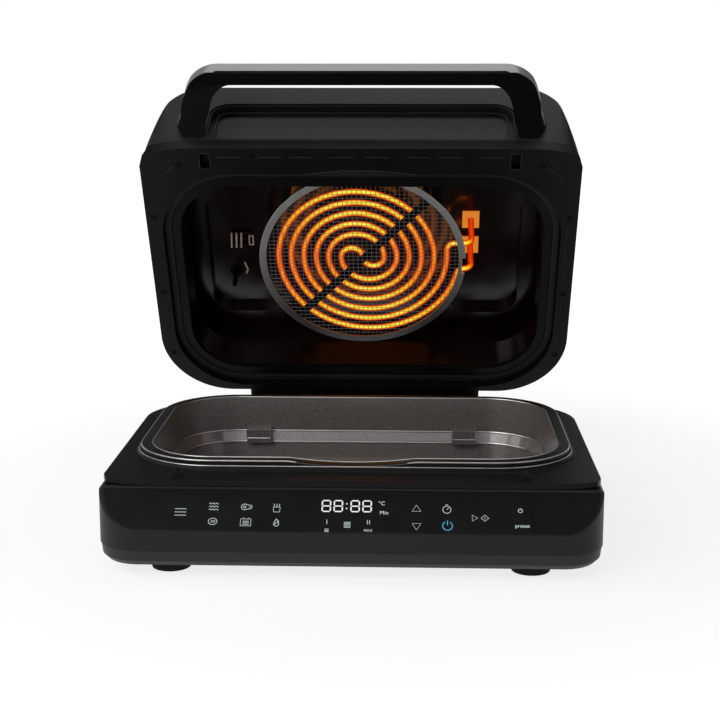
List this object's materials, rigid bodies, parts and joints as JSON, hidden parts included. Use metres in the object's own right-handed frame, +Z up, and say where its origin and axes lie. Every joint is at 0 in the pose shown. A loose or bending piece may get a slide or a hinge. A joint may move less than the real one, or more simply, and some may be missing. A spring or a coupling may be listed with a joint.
{
  "type": "air fryer grill",
  "caption": "Countertop air fryer grill with a rear-hinged lid, a spiral heating tube behind a round guard, a fan, a seated non-stick pot and a tilted touch panel.",
  "frame": {"origin": "centre of the bounding box on the surface the feet stand on", "axes": "+X to the right as the user faces it, -Y towards the user, +Z up"},
  "size_m": [0.463, 0.5337, 0.4573],
  "materials": {
    "black_plastic": "matte",
    "grey_plastic": "satin",
    "panel_gloss": "gloss",
    "circuit_board": "matte",
    "coated_aluminium": "satin non-stick coating",
    "aluminium": "satin",
    "rubber": "matte",
    "steel": "satin",
    "enamelled_steel": "satin",
    "black_steel": "satin",
    "heating_tube": "satin",
    "terminal_plate": "satin",
    "motor": "matte"
  },
  "bodies": {
    "base": {"base_housing": "black_plastic", "control_panel": "panel_gloss", "display_module": "panel_gloss", "touch_board": "circuit_board", "power_board": "circuit_board", "base_tub": "grey_plastic", "tub_screws": "steel", "feet": "rubber", "foot_screws": "steel", "top_deck": "black_plastic", "pot_well": "aluminium", "grill_pot": "coated_aluminium", "hinge_bracket_left": "black_plastic", "hinge_bracket_right": "black_plastic", "hinge_pin_left": "steel", "hinge_pin_right": "steel", "cord_gland": "rubber"},
    "lid": {"lid_shell": "black_plastic", "rim_frame": "black_plastic", "rim_screws": "steel", "lid_seal": "rubber", "hinge_yoke": "black_plastic", "yoke_screws": "steel", "cavity_liner": "enamelled_steel", "heater_coil": "heating_tube", "heater_terminals": "terminal_plate", "heater_strap": "black_steel", "guard_ring": "steel", "guard_mesh": "steel", "guard_clips": "steel", "temperature_sensor": "steel", "fan_motor": "motor", "motor_bracket": "black_steel", "handle_trim": "aluminium", "handle_grip": "black_plastic", "handle_screws": "steel"},
    "fan": {"air_fan": "aluminium", "cooling_fan": "aluminium", "fan_shaft": "steel"}
  },
  "joints": [
    {"name": "lid_hinge", "type": "hinge", "parent": "base", "child": "lid", "pos_m": [0, 0.1217, 0.03], "axis": [-1, 0, 0], "range_deg": [-61.3, 0]},
    {"name": "fan_spin", "type": "hinge", "parent": "lid", "child": "fan", "pos_m": [0, 0.12225, 0.26014], "axis": [0, 0.8771, 0.4802], "continuous": true}
  ]
}
